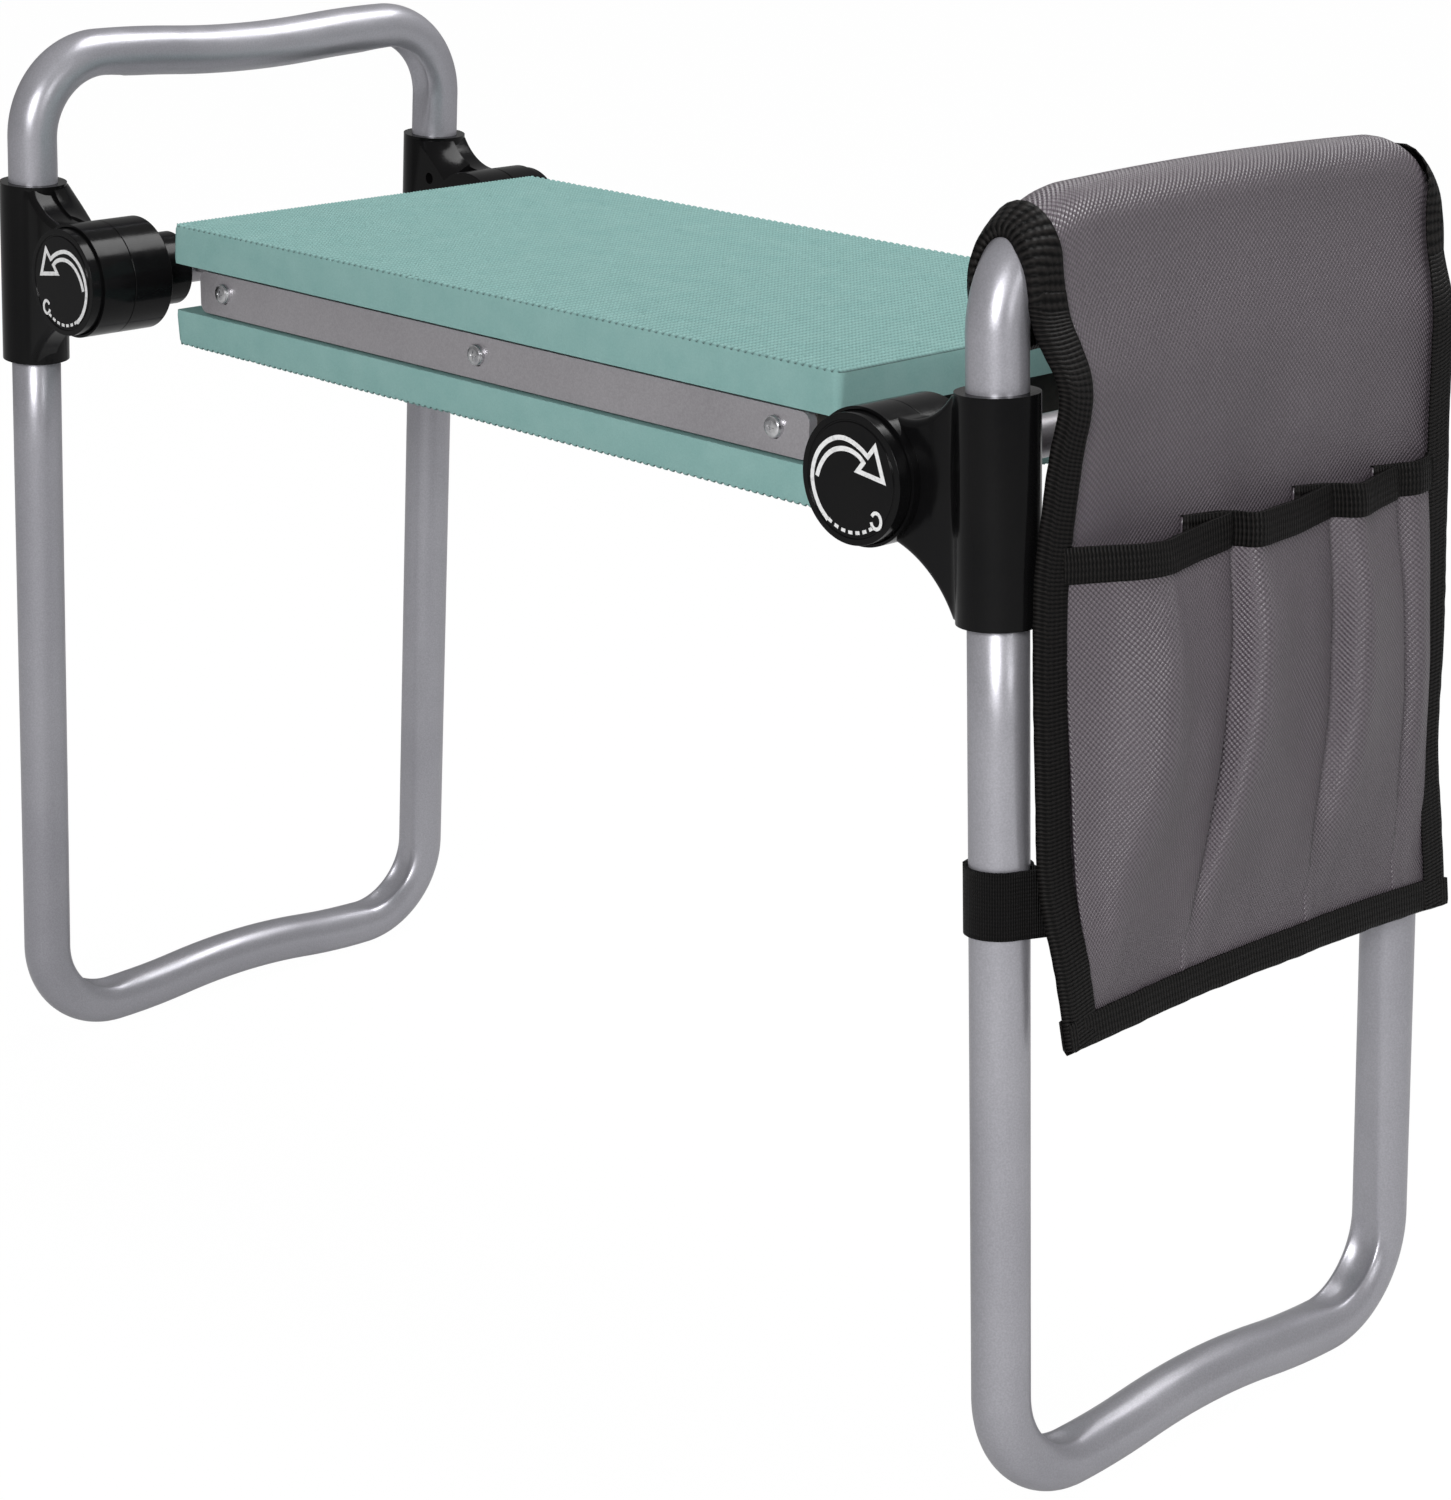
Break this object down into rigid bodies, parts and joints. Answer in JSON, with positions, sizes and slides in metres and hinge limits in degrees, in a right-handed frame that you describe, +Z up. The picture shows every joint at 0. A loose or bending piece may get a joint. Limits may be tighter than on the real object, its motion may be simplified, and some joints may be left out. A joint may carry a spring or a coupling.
{
  "type": "garden kneeler seat",
  "caption": "Folding garden kneeler and stool: foam padded seat carried by two steel loop frames on push button hinges, with a cloth tool pouch hung over one handle.",
  "frame": {"origin": "on the floor, under the middle of the seat", "axes": "+X along the seat towards the pouch end, +Y to the back, +Z up"},
  "size_m": [0.6575, 0.273, 0.4901],
  "materials": {
    "foam": "closed-cell foam, fine ribbed top",
    "board": "dark stained board",
    "rail_steel": "satin grey paint",
    "tube_steel": "satin silver powder coat",
    "black_plastic": "moulded black",
    "lock_plastic": "glass filled nylon",
    "zinc_steel": "zinc plated",
    "pouch_cloth": "grey woven polyester",
    "webbing": "black woven tape"
  },
  "bodies": {
    "seat": {"seat_board": "board", "top_pad": "foam", "lower_pad": "foam", "front_rail": "rail_steel", "back_rail": "rail_steel", "front_rail_screws": "zinc_steel", "back_rail_screws": "zinc_steel", "right_cross_tube": "rail_steel", "left_cross_tube": "rail_steel", "right_arms": "rail_steel", "left_arms": "rail_steel", "right_front_hub": "black_plastic", "right_back_hub": "black_plastic", "left_front_hub": "black_plastic", "left_back_hub": "black_plastic", "right_front_lock_gear": "lock_plastic", "right_back_lock_gear": "lock_plastic", "left_front_lock_gear": "lock_plastic", "left_back_lock_gear": "lock_plastic", "right_front_spring": "zinc_steel", "right_back_spring": "zinc_steel", "left_front_spring": "zinc_steel", "left_back_spring": "zinc_steel", "hinge_bolts": "zinc_steel", "hinge_nuts": "zinc_steel"},
    "left_frame": {"left_front_bracket": "black_plastic", "left_back_bracket": "black_plastic", "left_handle_tube": "tube_steel", "left_foot_tube": "tube_steel", "left_tube_spigots": "tube_steel"},
    "right_frame": {"right_front_bracket": "black_plastic", "right_back_bracket": "black_plastic", "right_handle_tube": "tube_steel", "right_foot_tube": "tube_steel", "right_tube_spigots": "tube_steel", "pouch_panel": "pouch_cloth", "pouch_pockets": "pouch_cloth", "front_strap": "webbing", "back_strap": "webbing"},
    "right_front_push": {"right_front_button": "black_plastic"},
    "right_back_push": {"right_back_button": "black_plastic"},
    "left_front_push": {"left_front_button": "black_plastic"},
    "left_back_push": {"left_back_button": "black_plastic"}
  },
  "joints": [
    {"name": "left_fold", "type": "hinge", "parent": "seat", "child": "left_frame", "pos_m": [-0.2406, 0, 0.386], "axis": [0, -1, 0], "range_deg": [0, 93]},
    {"name": "right_fold", "type": "hinge", "parent": "seat", "child": "right_frame", "pos_m": [0.2406, 0, 0.386], "axis": [0, 1, 0], "range_deg": [0, 81]},
    {"name": "right_front_press", "type": "slide", "parent": "right_frame", "child": "right_front_push", "axis": [0, 1, 0], "range_m": [0, 0.006], "stiffness_N_per_m": 600, "springref_m": -0.003},
    {"name": "right_back_press", "type": "slide", "parent": "right_frame", "child": "right_back_push", "axis": [0, -1, 0], "range_m": [0, 0.006], "stiffness_N_per_m": 600, "springref_m": -0.003},
    {"name": "left_front_press", "type": "slide", "parent": "left_frame", "child": "left_front_push", "axis": [0, 1, 0], "range_m": [0, 0.006], "stiffness_N_per_m": 600, "springref_m": -0.003},
    {"name": "left_back_press", "type": "slide", "parent": "left_frame", "child": "left_back_push", "axis": [0, -1, 0], "range_m": [0, 0.006], "stiffness_N_per_m": 600, "springref_m": -0.003}
  ]
}
